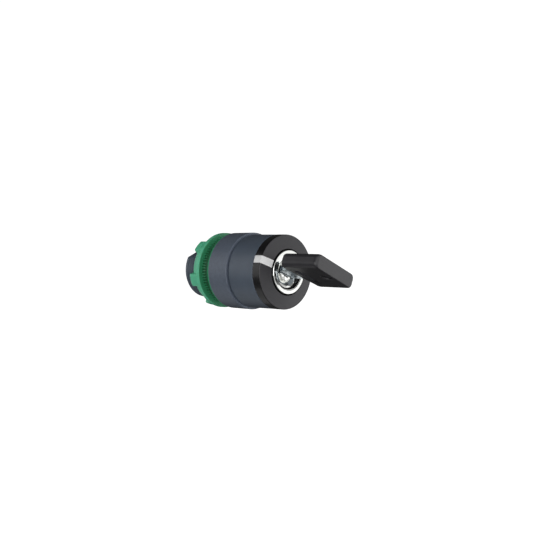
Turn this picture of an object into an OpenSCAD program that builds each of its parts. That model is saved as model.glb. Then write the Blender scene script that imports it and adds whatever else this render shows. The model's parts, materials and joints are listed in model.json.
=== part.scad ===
// Selector key switch for a 22 mm panel hole: key, turning lock, marked collar, bushing and panel nut.
// Millimetres. Origin on the switch axis in the panel's front face; +Y goes behind the panel, +Z is up.
// Rest pose: key in, marker 45 degrees left of the top, as delivered with the nut run up.

/* [Key] */
// width of the key blade in the lock
key_blade_w = 8; // [6:0.1:10]
// thickness of the key blade
key_blade_t = 2.2; // [1.6:0.1:3]
// width of the key bow
bow_w = 24.9; // [16:0.1:34]
// length of the key bow along the switch axis
bow_len = 16.8; // [12:0.1:26]
// thickness of the key bow
bow_t = 5.4; // [4.6:0.1:8]
// how far the bow stands off the blade's middle, on the side away from the wafers' springs
bow_shift = 0.9; // [0:0.1:1.2]
// how much longer the bow is at its marker end than in the middle
bow_slant = 1.3; // [0:0.1:2]
// bare blade seen between the lock face and the bow
key_neck = 6.4; // [2:0.1:10]
// diameter of the key ring hole
ring_hole_d = 4.5; // [3:0.1:6]

/* [Front of the panel] */
// diameter of the bezel where it meets the panel
bezel_seat_d = 29.7; // [26:0.1:40]
// length of the bezel
bezel_len = 10.3; // [7:0.1:16]
// length of the fixed sleeve in front of the bezel
sleeve_len = 13.5; // [10:0.1:20]
// length of the straight side of the marker collar
collar_side = 3.75; // [3:0.05:6]
// rise of the collar's sloping face
collar_rise = 1.15; // [0.8:0.05:3.5]
// how far the chrome cap stands above the collar
cap_stand = 0.5; // [0.2:0.1:1.5]
// width of the white marker
marker_w = 2.9; // [1.5:0.1:5]
// how far the gasket stands behind the bezel before it is pressed
gasket_stand = 0.5; // [0.3:0.05:1.2]

/* [Behind the panel] */
// outside diameter of the threaded barrel
barrel_d = 22; // [18:0.1:28]
// length of the barrel behind the panel
barrel_len = 17.3; // [13:0.1:24]
// length of plain barrel before the thread starts
plain_len = 5.2; // [4:0.1:8]
// pitch of the thread
thread_pitch = 1.5; // [1:0.1:2.5]
// gap between the panel plane and the nut's bearing face at rest
nut_stand = 1; // [0.6:0.1:6]
// thickness of the nut's flange
nut_flange = 1.9; // [1.2:0.1:4]
// length of the nut's toothed front hub
nut_front = 3.8; // [2:0.1:6]
// length of the nut's rear hub
nut_hub = 3.3; // [2:0.1:6]
// number of grip lugs on the nut
nut_lugs = 6; // [4:1:8]
// number of fine ribs on the nut's front hub
nut_ribs = 75; // [40:1:90]

/* [Mechanism] */
// how far each plunger moves over the whole turn of the key
plunger_travel = 3; // [2:0.1:4]
// turn of the key from one position to the other, degrees
key_turn = 90; // [60:1:90]
// number of wafers in the lock
wafers = 6; // [3:1:7]
// thickness of one wafer
wafer_t = 0.9; // [0.6:0.05:1.2]

/* [Fits] */
// radial gap of the turning fits
run_gap = 0.05; // [0.02:0.01:0.1]
// gap where parts are only laid together
lay_gap = 0.05; // [0.02:0.01:0.2]
// gap between parts of different bodies that never touch
free_gap = 0.3; // [0.2:0.05:0.6]

/* [Hidden] */
$fn = 96;
eps = 0.01;
rest_angle = 45;                          // marker left of the top at rest
// lock, from the key blade outwards
plug_r = key_blade_w / 2 + 2;
stator_r = plug_r + 3.6;
journal_in = stator_r + free_gap + 0.1;
journal_r = journal_in + 2;
bore_r = journal_r + run_gap;
sleeve_r = bore_r + 2.2;
collar_r = sleeve_r + 0.05;
cap_r = plug_r + 2.4;
cap_hole_r = cap_r + 0.45;
neck_r = key_blade_w / 2 - 0.6;
key_w2 = key_blade_w / 2 + 0.2;           // half width of the keyway
key_t2 = key_blade_t / 2 + 0.15;          // half thickness of the keyway
// barrel
barrel_r = barrel_d / 2;
drum_bore_r = barrel_r - 3.7;
plate_bore_r = barrel_r - 3.4;
clip_groove_r = barrel_r - 3.1;
flat_h = barrel_r - 2.5;                  // flat for the contact block's collar
seat_r = barrel_r + 0.6;                   // shoulder that meets the panel once the gasket is pressed
core_r = max(stator_r + 2.8, barrel_r + 1.4);
bezel_r = max(bezel_seat_d / 2, sleeve_r + 0.6, core_r + 2.4);
bezel_lip_r = bezel_r + 0.15;
// stations in front of the panel
z_bezel = gasket_stand;
z_step = z_bezel + bezel_len;
z_sleeve = z_step + 0.5;
z_mouth = z_step + sleeve_len;
z_collar = z_mouth + 0.1;
z_edge = z_collar + collar_side;
z_cone = z_edge + collar_rise;
z_web = z_collar + 1.4;
z_cap = z_cone + cap_stand;
z_stator0 = z_step - 5.3;
z_stator1 = z_collar - free_gap - 0.1;
z_clip = z_stator0 - 0.9;
z_plug0 = z_stator0 - 1.5;
// stations behind the panel
z_rear = -barrel_len;
z_plate = z_rear + 6.3;                   // front face of the guide plate
plate_t = 1.6;
clip_t = 0.9;
flat_len = 4.9;
drum_r = drum_bore_r - free_gap;
stop_a = atan(1.1 / (drum_r - 1.3)) + 1;
z_ramp = -1.5;                            // foot of the cam ramps
orbit = drum_r - 2.2;                     // plungers from the axis
head_r = 1.7;
stem_r = 1.2;
drum_hub_r = orbit - head_r - 0.5;
ramp_gap = 0.4;
head_len = 2.5;
// nut
nut_bore_r = barrel_r + free_gap;
nut_r = bezel_r;
nut_hub_r = nut_r - 1.65;
nut_lug_r = nut_r - 0.7;
nut_front_r = nut_r - 2.15;
nut_rib_r = nut_r - 1.7;
z_nut = -nut_stand;
z_flange = z_nut - nut_front;
z_hub = z_flange - nut_flange;
z_nut_end = z_hub - nut_hub;
lug_w = 4.9;
lug_over = 1.3;
// key
blade_root_w = key_blade_w + 3;
z_bow = z_cap + key_neck;
z_tip = z_stator0 + 3;
wafer_step = (z_stator1 - z_tip - 3.4) / wafers;

// Drawing frame: z runs forward along the switch axis, x right and y up as seen from the front.
module on_axis() { rotate([90, 0, 0]) children(); }
// Key frame: x along the key's width towards the marker, y through its thickness.
module on_key() { on_axis() rotate([0, 0, 90 + rest_angle]) children(); }
function arc(cx, cy, r, a0, a1, n = 6) = [for (i = [0:n]) let (a = a0 + (a1 - a0) * i / n)
    [cx + r * cos(a), cy + r * sin(a)]];
module tube(r1, r0, z0, z1) { translate([0, 0, z0]) linear_extrude(z1 - z0) difference() { circle(r1); circle(r0); } }
module rod(r, z0, z1) { translate([0, 0, z0]) cylinder(r = r, h = z1 - z0); }
module block(x0, x1, y0, y1, z0, z1) { translate([x0, y0, z0]) cube([x1 - x0, y1 - y0, z1 - z0]); }

// ---------------------------------------------------------------- fixed head
// Outline of one half of the threaded bushing: barrel with thread, core under the bezel, front sleeve.
// The thread starts behind the plain length and takes as many turns as fit before the rear chamfer.
function thread_side() = let (d = 0.9, n = floor((-plain_len - z_rear - d) / thread_pitch),
                              z0 = -plain_len - n * thread_pitch)
    [for (i = [0:n - 1]) each let (z = z0 + i * thread_pitch)
        [[barrel_r, z], [barrel_r - d, z + 0.45 * thread_pitch], [barrel_r - d, z + 0.6 * thread_pitch],
         [barrel_r, z + 0.95 * thread_pitch]]];
module bushing() {
    color([0.31, 0.34, 0.38]) on_axis() difference() {
        rotate_extrude() polygon(concat(
            [[drum_bore_r, z_rear], [barrel_r - 0.8, z_rear], [barrel_r, z_rear + 0.8]], thread_side(),
            [[barrel_r, -plain_len], [barrel_r, 0], [seat_r, 0], [seat_r, z_bezel], [core_r, z_bezel], [core_r, z_step],
             [sleeve_r - 0.7, z_step], [sleeve_r - 0.7, z_sleeve]],
            arc(sleeve_r - 0.3, z_sleeve + 0.3, 0.3, -90, 0, 4), arc(sleeve_r - 0.3, z_mouth - 0.3, 0.3, 0, 90, 4),
            [[bore_r, z_mouth], [bore_r, z_sleeve], [stator_r + 0.02, z_sleeve], [stator_r + 0.02, z_stator0],
             [drum_bore_r, z_stator0]]));
        // open rear end: seat of the guide plate and groove of its clip
        rod(plate_bore_r, z_rear - 1, z_plate);
        tube(clip_groove_r, plate_bore_r - 1, z_plate - plate_t - clip_t, z_plate - plate_t);
        // slot that stops the guide plate from turning
        block(-1.05, 1.05, -plate_bore_r - 0.85, 0, z_plate - plate_t, z_plate);
        // flat on the upper side for the contact block's collar
        block(-barrel_r, barrel_r, flat_h, barrel_r + 1, z_rear - 1, z_rear + flat_len);
        // hole of the lock pin
        translate([0, 0, z_stator0 + 2.6]) rotate([90, 0, 0]) translate([0, 0, plug_r]) cylinder(r = 1, h = core_r);
        // keyway of the bezel
        block(-1.2, 1.2, core_r - 1, core_r + 1, z_bezel - eps, z_step - 2);
    }
    // stop that ends the drum's turn both ways
    color([0.31, 0.34, 0.38]) on_axis() intersection() {
        block(-1.1, 1.1, -drum_bore_r - 0.2, -drum_r + 1.3, 0.4, z_plug0 - 0.3);
        rod(drum_bore_r + 0.1, 0, z_plug0);
    }
}
// Ring between panel and sleeve, slipped on from behind over the barrel.
module bezel() {
    color([0.33, 0.35, 0.4]) on_axis() difference() {
        union() {
            rotate_extrude() polygon(concat([[core_r + lay_gap, z_bezel], [bezel_r - 0.3, z_bezel],
                [bezel_r, z_bezel + 0.3]], arc(bezel_lip_r - 0.35, z_step - 0.35, 0.35, 0, 90, 5),
                [[core_r + lay_gap, z_step]]));
            block(-1.1, 1.1, core_r - 0.9, core_r + 0.5, z_bezel, z_step - 2.2);
        }
        tube(bezel_r - 0.9, core_r + 0.55, z_bezel - 1, z_bezel + 0.8);
    }
}
module panel_gasket() {
    color([0.1, 0.5, 0.33]) on_axis() {
        tube(bezel_r - 0.12, seat_r + lay_gap, 0, z_bezel);
        tube(bezel_r - 0.95, core_r + 0.6, z_bezel, z_bezel + 0.75);
    }
}
// Fixed cylinder the lock plug turns in; grooves at both ends of the blade take the wafers when the key is out.
module lock_body() {
    color([0.72, 0.7, 0.6]) on_axis() difference() {
        tube(stator_r, plug_r + run_gap, z_stator0, z_stator1);
        rotate([0, 0, 90 + rest_angle]) block(-plug_r - 1.3, plug_r + 1.3, -3.2, 3.2,
            z_tip + 0.8, z_stator1 - 1.2);
        translate([0, 0, z_stator0 + 2.6]) rotate([90, 0, 0]) translate([0, 0, stator_r - 2.3]) cylinder(r = 1, h = 5);
    }
}
module lock_pin() {
    color([0.6, 0.61, 0.63]) on_axis() translate([0, 0, z_stator0 + 2.6]) rotate([90, 0, 0])
        translate([0, 0, stator_r - 2.25]) cylinder(r = 0.98, h = core_r - stator_r + 2.1);
}
// Disc in the barrel that guides both plungers and the drum's spigot.
module guide_plate() {
    color([0.2, 0.21, 0.22]) on_axis() difference() {
        union() {
            rod(plate_bore_r - lay_gap, z_plate - plate_t, z_plate);
            block(-1, 1, -plate_bore_r - 0.8, 0, z_plate - plate_t, z_plate);
        }
        rod(2 + run_gap, z_rear, z_plate + 1);
        for (s = [-1, 1]) translate([s * orbit, 0, 0]) rod(stem_r + run_gap, z_rear, z_plate + 1);
    }
}
module guide_clip() {
    color([0.66, 0.67, 0.68]) on_axis() difference() {
        tube(clip_groove_r - lay_gap, plate_bore_r - 1, z_plate - plate_t - clip_t + 0.02, z_plate - plate_t);
        block(-3, 3, 0, barrel_r, z_rear, z_plate);
    }
}
// Coil: the cross-section of the wire at one height, turned as it rises.
module coil(r, wire, pitch, turns) {
    linear_extrude(height = pitch * turns, twist = -360 * turns, slices = 14 * turns, convexity = 8, $fn = 8)
        polygon([for (i = [0:11]) let (a = 30 * i, p = 360 * wire * sin(a) / pitch)
            [(r + wire * cos(a)) * cos(p), (r + wire * cos(a)) * sin(p)]]);
}
module plunger_spring(s, drop) {
    len = z_ramp - ramp_gap - head_len - drop - z_plate;
    turns = max(1, min(6, floor(len / 0.55)));
    color([0.7, 0.71, 0.73]) on_axis() translate([s * orbit, 0, z_plate]) coil(1.65, 0.2, len / turns, turns);
}
module plunger_spring_left() { plunger_spring(-1, plunger_travel); }
module plunger_spring_right() { plunger_spring(1, 0); }

// ---------------------------------------------------------------- turning group
module collar_ring() {
    rotate_extrude() polygon(concat(
        [[plug_r - 1.4, z_collar], [journal_in, z_collar], [journal_in, z_sleeve + 0.5],
         [journal_r, z_sleeve + 0.5], [journal_r, z_collar], [collar_r - 0.2, z_collar],
         [collar_r, z_collar + 0.2]], arc(collar_r - 0.35, z_edge - 0.35, 0.35, 0, 80, 6),
        arc(cap_hole_r + 0.2, z_cone - 0.2, 0.2, 80, 180, 4), [[cap_hole_r, z_web], [plug_r - 1.4, z_web]]));
}
module marker_skin(gap) {
    intersection() {
        difference() { collar_ring(); rod(collar_r - 0.8, 0, z_edge - 1.1);
            rotate_extrude() polygon([[0, z_edge - 1.2], [collar_r - 0.8, z_edge - 1.2], [collar_r - 0.8, z_edge - 0.8],
                [cap_hole_r - 1, z_cone - 0.8], [0, z_cone - 0.8]]); }
        block(0, collar_r + 1, -marker_w / 2 - gap, marker_w / 2 + gap, z_collar - eps, z_cone + 1);
    }
}
module marker_collar() {
    color([0.14, 0.14, 0.15]) on_key() difference() {
        collar_ring();
        marker_skin(0.02);
        for (s = [-1, 1]) block(-1.6 - lay_gap, 1.6 + lay_gap, s > 0 ? 0 : -plug_r + 0.6 - lay_gap,
            s > 0 ? plug_r - 0.6 + lay_gap : 0, z_collar - 1, z_web + 1);
        tube(journal_r + 1, journal_r - 0.9, z_mouth - 4.4, z_mouth - 3);
    }
}
module marker_inlay() { color([0.92, 0.92, 0.92]) on_key() marker_skin(0); }
module collar_seal() {
    r0 = journal_r - 0.9;
    color([0.08, 0.08, 0.08]) on_axis() rotate_extrude() polygon(concat(
        arc(r0 + 0.3, z_mouth - 4.05, 0.3, 180, 270, 3), arc(journal_r - 0.3, z_mouth - 4.05, 0.3, 270, 360, 3),
        arc(journal_r - 0.3, z_mouth - 3.35, 0.3, 0, 90, 3), arc(r0 + 0.3, z_mouth - 3.35, 0.3, 90, 180, 3)));
}
// Chrome cap: flat rim, hollow middle with the plug's domed end in it, square notch at the marker side.
module lock_cap() {
    rim = plug_r + 1;
    color([0.9, 0.9, 0.88]) on_key() difference() {
        rotate_extrude() polygon(concat([[neck_r + 0.02, z_web], [cap_r - 0.2, z_web], [cap_r, z_web + 0.2]],
            arc(cap_r - 0.35, z_cap - 0.35, 0.35, 0, 90, 5),
            [for (i = [0:8]) let (t = i / 8) [rim - (rim - neck_r - 0.02) * t, z_cap - 0.15 - 1.85 * sin(90 * t)]]));
        block(-key_w2, key_w2, -key_t2, key_t2, z_web - 1, z_cap + 1);
        block(plug_r - 1.1, cap_r - 0.9, -1.5, 1.5, z_cap - 1.5, z_cap + 1);
    }
}
module lock_plug() {
    color([0.83, 0.8, 0.68]) on_key() difference() {
        union() {
            rod(plug_r, z_stator0 - 0.1, z_collar);
            rod(plug_r, z_plug0, z_clip - 0.1);
            rod(plug_r - 1, z_clip - 0.2, z_stator0);
            for (s = [-1, 1]) block(-1.6, 1.6, s > 0 ? neck_r - 0.9 : -plug_r + 0.6,
                s > 0 ? plug_r - 0.6 : -neck_r + 0.9, z_collar - 1, z_web);
            rotate_extrude() polygon(concat([[0, z_collar - 1], [neck_r, z_collar - 1]],
                [for (i = [0:6]) [neck_r * cos(15 * i), z_cap - 1.6 + 0.7 * sin(15 * i)]]));
            block(-2.5, 2.5, -2.5, 2.5, z_plug0 - 3.8, z_plug0 + 1);
        }
        block(-key_w2, key_w2, -key_t2, key_t2, z_tip - 0.5, z_cap + 1);
        for (i = [0:wafers - 1]) wafer_place(i) {
            block(-plug_r - 1, plug_r + 1, -3.05, 3.05, -0.05, wafer_t + 0.05);
            block(-3.4, 1.2, 2.9, 4.3, -0.25, wafer_t + 0.25);
        }
    }
}
module wafer_place(i) { translate([0, 0, z_tip + 1.4 + i * wafer_step]) children(); }
// Each wafer stands level with the plug, its window round the blade.
module wafer_set() {
    color([0.8, 0.66, 0.36]) on_key() for (i = [0:wafers - 1]) wafer_place(i) difference() {
        union() {
            intersection() { block(-plug_r, plug_r, -3, 3, 0, wafer_t); rod(plug_r - 0.05, -1, 3); }
            block(-0.4, 0.4, 2.9, 4.2, 0, wafer_t);
        }
        block(-key_w2, key_w2, -key_t2, key_t2, -1, 3);
    }
}
module wafer_springs() {
    color([0.72, 0.73, 0.75]) on_key() for (i = [0:wafers - 1]) wafer_place(i)
        translate([-3.35, 3.6, wafer_t / 2]) rotate([0, 90, 0]) coil(0.42, 0.12, 0.57, 5);
}
module plug_clip() {
    color([0.62, 0.63, 0.65]) on_key() difference() {
        tube(min(plug_r + 1.1, drum_bore_r - 0.1), plug_r - 0.98, z_clip, z_stator0 - 0.1);
        block(-plug_r + 1.2, plug_r - 1.2, 0, plug_r * 2, z_clip - 1, z_stator0);
    }
}
module sector(a0, a1, r) { polygon(concat([[0, 0]], [for (i = [0:8]) let (a = a0 + (a1 - a0) * i / 8)
    [r * cos(a), r * sin(a)]])); }
// Height the cam's rear face stands behind its foot at angle a, measured in the key frame's own turn.
function ramp(a) = let (k = plunger_travel / key_turn, o = 10)
    a < key_turn + o ? max(-o * k, a * k) :
    a < 180 - o ? (key_turn + o) * k :
    a < 180 + key_turn + o ? plunger_travel - (a - 180) * k : -o * k;
module ramp_ring() {
    n = 72;
    ri = drum_hub_r - 0.4;
    ro = drum_r - 0.06;
    a = [for (i = [0:n - 1]) 360 * i / n];
    h = [for (x = a) z_ramp - ramp(x > 350 ? x - 360 : x)];
    pts = concat([for (x = a) [ri * cos(x), ri * sin(x), 0.5]], [for (x = a) [ro * cos(x), ro * sin(x), 0.5]],
        [for (i = [0:n - 1]) [ro * cos(a[i]), ro * sin(a[i]), h[i]]],
        [for (i = [0:n - 1]) [ri * cos(a[i]), ri * sin(a[i]), h[i]]]);
    polyhedron(pts, [for (q = [0:3]) for (i = [0:n - 1]) each
        let (j = (i + 1) % n, c = q * n, d = ((q + 1) % 4) * n) [[c + i, c + j, d + i], [c + j, d + j, d + i]]]);
}
module cam_drum() {
    color([0.78, 0.78, 0.74]) on_axis() difference() {
        union() {
            rod(drum_r, 0, z_plug0);
            ramp_ring();
            rod(drum_hub_r, z_plate + 0.3, 1);
            rod(2, z_plate - plate_t - 0.2, 1);
        }
        // cut-out round the bushing's stop; its ends end the turn
        translate([0, 0, -eps]) linear_extrude(z_plug0 + 1) difference() {
            sector(270 - stop_a, 270 + key_turn + stop_a, 2 * drum_r);
            circle(drum_r - 1.6);
        }
        rotate([0, 0, 90 + rest_angle]) block(-2.52, 2.52, -2.52, 2.52, z_plug0 - 3.9, z_plug0 + 1);
    }
}

// ---------------------------------------------------------------- plungers
module plunger(s, drop) {
    z1 = z_ramp - ramp_gap - drop;
    color([0.85, 0.85, 0.82]) on_axis() translate([s * orbit, 0, 0]) {
        rotate_extrude() polygon(concat([[0, z_rear + 3.1 - drop], [stem_r, z_rear + 3.1 - drop],
            [stem_r, z1 - head_len], [head_r, z1 - head_len]], arc(0, z1 - head_r, head_r, 0, 90, 8)));
    }
}
module plunger_left() { plunger(-1, plunger_travel); }
module plunger_right() { plunger(1, 0); }

// ---------------------------------------------------------------- key
module blade_outline() {
    block(-key_blade_w / 2, key_blade_w / 2, -key_blade_t / 2, key_blade_t / 2, z_tip, z_bow + 3);
    block(-blade_root_w / 2, blade_root_w / 2, -key_blade_t / 2, key_blade_t / 2, z_bow - 1.2, z_bow + bow_len * 0.55);
}
module key_blade() {
    color([0.66, 0.7, 0.73]) on_key() difference() {
        blade_outline();
        // pointed tip
        for (s = [-1, 1]) translate([s * key_blade_w / 2, 0, z_tip]) rotate([0, 45, 0]) cube([2.6, 9, 2.6], center = true);
        // wafer cuts along one edge
        for (i = [0:wafers - 1]) translate([-key_blade_w / 2, 0, z_tip + 1.4 + wafer_t / 2 + i * wafer_step])
            rotate([0, 45, 0]) cube([0.7 + 0.3 * ((i * 2) % 3), 9, 0.7 + 0.3 * ((i * 2) % 3)], center = true);
        // hole that locks the moulded bow on
        translate([0, 0, z_bow + 7]) rotate([90, 0, 0]) cylinder(r = 1.3, h = 9, center = true);
    }
}
module rounded(w, h, r, n = 5) {
    polygon(concat(arc(w - r, h - r, r, 0, 90, n), arc(-w + r, h - r, r, 90, 180, n),
        arc(-w + r, -h + r, r, 180, 270, n), arc(w - r, -h + r, r, 270, 360, n)));
}
// Outline with all its corners rounded; the corners are listed anticlockwise.
function soft(p, r, n = 5) = [for (i = [0:len(p) - 1]) each
    let (q = p[i], a = p[(i + len(p) - 1) % len(p)] - q, b = p[(i + 1) % len(p)] - q, u = a / norm(a),
         v = b / norm(b), half = acos(u * v) / 2, c = q + (u + v) / norm(u + v) * r / sin(half),
         from = q + u * r / tan(half) - c, s = atan2(from.y, from.x))
    [for (k = [0:n]) let (e = s + (180 - 2 * half) * k / n) c + r * [cos(e), sin(e)]]];
module key_bow() {
    t = bow_t / 2;
    w = bow_w / 2;
    color([0.17, 0.17, 0.19]) on_key() difference() {
        translate([0, -bow_shift, 0]) intersection() {
            translate([0, 0, z_bow - 1]) linear_extrude(bow_len + bow_slant + 2) rounded(w, t, 1.9);
            translate([0, bow_t, z_bow]) rotate([90, 0, 0]) linear_extrude(2 * bow_t)
                polygon(soft([[-w, 0], [w, 0], [w, bow_len + bow_slant], [-w, bow_len - bow_slant]], 1.5));
        }
        difference() { blade_outline(); translate([0, 0, z_bow + 7]) rotate([90, 0, 0]) cylinder(r = 1.3, h = 9, center = true); }
        // long window through the bow that shows the blade's shoulder
        block(-bow_w * 0.29, bow_w * 0.29, -bow_t * 2, bow_t * 2, z_bow + 2.6, z_bow + 5.1);
        translate([0, 0, z_bow + bow_len - 3.7]) rotate([90, 0, 0]) cylinder(r = ring_hole_d / 2, h = 20, center = true);
    }
}

// ---------------------------------------------------------------- panel nut
module panel_nut() {
    color([0.25, 0.66, 0.47]) on_axis() difference() {
        union() {
            rod(nut_front_r, z_flange - 1, z_nut);
            translate([0, 0, z_flange - 0.5]) linear_extrude(2) polygon([for (i = [0:nut_ribs - 1])
                for (k = [[0.02, nut_front_r - 0.2], [0.3, nut_rib_r], [0.7, nut_rib_r], [0.98, nut_front_r - 0.2]])
                let (a = 360 * (i + k[0]) / nut_ribs) [k[1] * cos(a), k[1] * sin(a)]]);
            rotate_extrude() polygon(concat([[nut_bore_r, z_flange], [nut_bore_r, z_nut_end],
                [nut_hub_r, z_nut_end], [nut_hub_r, z_hub]], arc(nut_r - 0.3, z_hub + 0.3, 0.3, -90, 0, 3),
                arc(nut_r - 0.3, z_flange - 0.3, 0.3, 0, 90, 3)));
            for (i = [0:nut_lugs - 1]) rotate([0, 0, 90 + 22 + 360 * i / nut_lugs]) intersection() {
                block(nut_bore_r + 0.4, nut_lug_r + 1, -lug_w / 2, lug_w / 2, z_nut_end - lug_over, z_hub + 0.5);
                rod(nut_lug_r, z_nut_end - lug_over - 1, z_hub + 1);
            }
            // arrow on one lug
            rotate([0, 0, 112]) translate([nut_lug_r - 0.1, 0, z_hub - 2.3]) rotate([0, 90, 0])
                linear_extrude(0.35) polygon([[-1.3, -1.1], [-1.3, 1.1], [1.1, 0]]);
        }
        rod(nut_bore_r, z_nut_end - 5, 1);
        rod(seat_r + 0.5, z_flange - 0.5, 1);
    }
}

bushing();
bezel();
panel_gasket();
lock_body();
lock_pin();
guide_plate();
guide_clip();
plunger_spring_left();
plunger_spring_right();
marker_collar();
marker_inlay();
collar_seal();
lock_cap();
lock_plug();
plug_clip();
wafer_set();
wafer_springs();
cam_drum();
plunger_left();
plunger_right();
key_blade();
key_bow();
panel_nut();
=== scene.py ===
"""Looks of a selector key switch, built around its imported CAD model.

Every piece lies in the row frame in metres: the switch axis runs along Y, the front faces -Y, up is +Z and
the panel's front face is the plane y = 0. "Height" below means the distance in front of that plane.
"""

import json
import math

import bmesh
import bpy
import numpy as np
from mathutils import Matrix, Vector

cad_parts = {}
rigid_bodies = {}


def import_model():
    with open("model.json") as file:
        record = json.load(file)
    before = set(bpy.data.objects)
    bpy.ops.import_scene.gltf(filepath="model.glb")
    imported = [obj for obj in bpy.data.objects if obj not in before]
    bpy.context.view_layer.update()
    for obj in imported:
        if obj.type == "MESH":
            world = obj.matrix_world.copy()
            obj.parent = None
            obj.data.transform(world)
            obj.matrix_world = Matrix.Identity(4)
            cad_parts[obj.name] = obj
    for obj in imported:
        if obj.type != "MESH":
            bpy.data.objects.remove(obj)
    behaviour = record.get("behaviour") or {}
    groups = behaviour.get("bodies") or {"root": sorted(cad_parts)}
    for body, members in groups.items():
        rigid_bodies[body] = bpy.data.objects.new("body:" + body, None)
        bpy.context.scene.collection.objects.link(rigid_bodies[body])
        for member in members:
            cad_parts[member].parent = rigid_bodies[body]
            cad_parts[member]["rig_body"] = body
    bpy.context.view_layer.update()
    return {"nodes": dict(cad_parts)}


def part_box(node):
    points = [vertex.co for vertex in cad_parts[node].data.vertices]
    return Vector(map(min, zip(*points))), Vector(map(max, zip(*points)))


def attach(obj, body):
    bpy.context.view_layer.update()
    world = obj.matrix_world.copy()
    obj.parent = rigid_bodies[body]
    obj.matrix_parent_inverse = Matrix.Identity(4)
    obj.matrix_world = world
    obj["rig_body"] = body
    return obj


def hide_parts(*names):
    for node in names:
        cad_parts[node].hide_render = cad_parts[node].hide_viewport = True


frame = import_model()

bl_info = {
    "name": "Selector key switch",
    "version": (1, 0, 0),
    "blender": (4, 5, 0),
    "location": "3D View > Sidebar > Key switch",
    "description": "Builds the visible pieces, finishes and studio of a selector key switch",
    "category": "Add Mesh",
}

MM = 0.001
TURN = 2 * math.pi
REST_ANGLE = math.radians(135)      # direction of the marker at rest, from the right, seen from the front
ROUND = 240                         # facets round a turned piece


def corners_of(node):
    """Lowest and highest corner of a CAD node in millimetres."""
    low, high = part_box(node)
    return np.array(low) / MM, np.array(high) / MM


def front(node):
    """Height of a node's front end in millimetres."""
    return -corners_of(node)[0][1]


def rear(node):
    """Height of a node's rear end in millimetres."""
    return -corners_of(node)[1][1]


def radius(node):
    """Largest half width of a node about the switch axis in millimetres."""
    return corners_of(node)[1][0]


def linear(code):
    """An sRGB hex colour as linear red, green and blue."""
    c = np.array([int(code[i:i + 2], 16) for i in (1, 3, 5)]) / 255
    return tuple(np.where(c <= 0.04045, c / 12.92, ((c + 0.055) / 1.055) ** 2.4))


def size(name, millimetres, description):
    return bpy.props.FloatProperty(name=name, description=description, default=float(millimetres) * MM,
                                   unit="LENGTH", precision=5, min=0)


def tint(name, code, description):
    return bpy.props.FloatVectorProperty(name=name, description=description, default=linear(code),
                                         subtype="COLOR", size=3, min=0, max=1)


# ------------------------------------------------------------------------------------------- settings

class SwitchSizes(bpy.types.PropertyGroup):
    """Sizes that the CAD boxes don't give, and roundings of the moulded edges."""
    barrel: size("Barrel radius", 11, "Radius of the threaded barrel")
    thread_pitch: size("Thread pitch", 1.5, "Distance from one thread crest to the next")
    thread_depth: size("Thread depth", 0.9, "Depth of the thread")
    plain: size("Plain barrel", 5.2, "Length of barrel without thread behind the panel")
    flat: size("Flat", 8.5, "Distance of the barrel's flat from the axis")
    flat_length: size("Flat length", 4.9, "Length of the flat from the rear end")
    sleeve: size("Sleeve radius", 14.25, "Outside radius of the fixed sleeve")
    bore: size("Sleeve bore", 12.05, "Inside radius of the fixed sleeve")
    core: size("Core radius", 12.4, "Radius of the core under the bezel")
    soft_edge: size("Soft edge", 0.3, "Rounding of outside edges")
    tight_edge: size("Tight edge", 0.06, "Rounding of inside and parting edges")
    lip_edge: size("Bezel lip", 0.32, "Rounding of the bezel's front edge")
    collar_edge: size("Collar edge", 0.35, "Rounding between the collar's side and its slope")
    collar_rise: size("Collar rise", 1.15, "Rise of the collar's slope from its shoulder to the hole")
    marker: size("Marker width", 2.9, "Width of the white marker")
    marker_stand: size("Marker stand", 0.02, "How far the marker stands proud of the collar")
    rim: size("Cap rim", 7.0, "Inside radius of the chrome cap's flat rim")
    dish: size("Cap dish", 2.0, "Depth of the hollow in the chrome cap")
    notch: size("Notch width", 3, "Width of the square notch in the cap")
    bow_shift: size("Bow offset", 0.9, "How far the bow stands off the blade's middle")
    bow_slant: size("Bow slant", 1.3, "How much longer the bow is at its marker end than in the middle")
    bow_end: size("Bow end", 1.9, "Rounding of the bow's two narrow ends")
    bow_edge: size("Bow edge", 0.5, "Rounding of the bow's front and rear edges")
    bow_corner: size("Bow corner", 1.5, "Corner rounding of the bow's outline")
    hole: size("Ring hole", 2.25, "Radius of the key ring hole")


class SwitchColours(bpy.types.PropertyGroup):
    """Colours of the finishes."""
    sleeve: tint("Sleeve", "#4f5966", "Anthracite moulding of the sleeve and barrel")
    bezel: tint("Bezel", "#5a6371", "Anthracite moulding of the bezel")
    collar: tint("Collar", "#0e0e10", "Polished black side of the collar")
    slope: tint("Slope", "#2c2b2f", "Matt black slope of the collar")
    marker: tint("Marker", "#ededed", "White of the marker")
    key: tint("Key", "#29282c", "Black moulding of the key bow")
    nut: tint("Nut", "#5cc398", "Green moulding of the panel nut")
    # Painted shade: the two deeper greens below darken the nut's front and the grooves between its ribs,
    # where shade falls between the nut and the bezel. The nut's own green is the one above.
    nut_front_painted_shade: tint("Nut front", "#33895f", "Deeper green of the nut's polished front")
    nut_groove_painted_shade: tint("Nut groove", "#175b38", "Darkest green, between the ribs")
    gasket: tint("Gasket", "#2a9a68", "Green rubber of the panel gasket")
    chrome: tint("Chrome", "#e9eae7", "Bright chrome plating")
    steel: tint("Steel", "#b6bfc6", "Nickel-plated steel of the key blade")
    brass: tint("Brass", "#c9a55a", "Brass of the wafers")
    acetal: tint("Acetal", "#d9d8d0", "Natural acetal of the plungers and the cam drum")
    guide: tint("Guide", "#33353a", "Dark glass-filled nylon of the guide plate")
    rubber: tint("Rubber", "#1a1a1a", "Black rubber of the inner seal")
    spring: tint("Spring", "#a5a8ab", "Drawn spring steel")
    zinc: tint("Zinc", "#a09d90", "Die-cast zinc of the fixed lock body")
    floor: tint("Floor", "#f6f6f6", "Pale studio floor")


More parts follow.
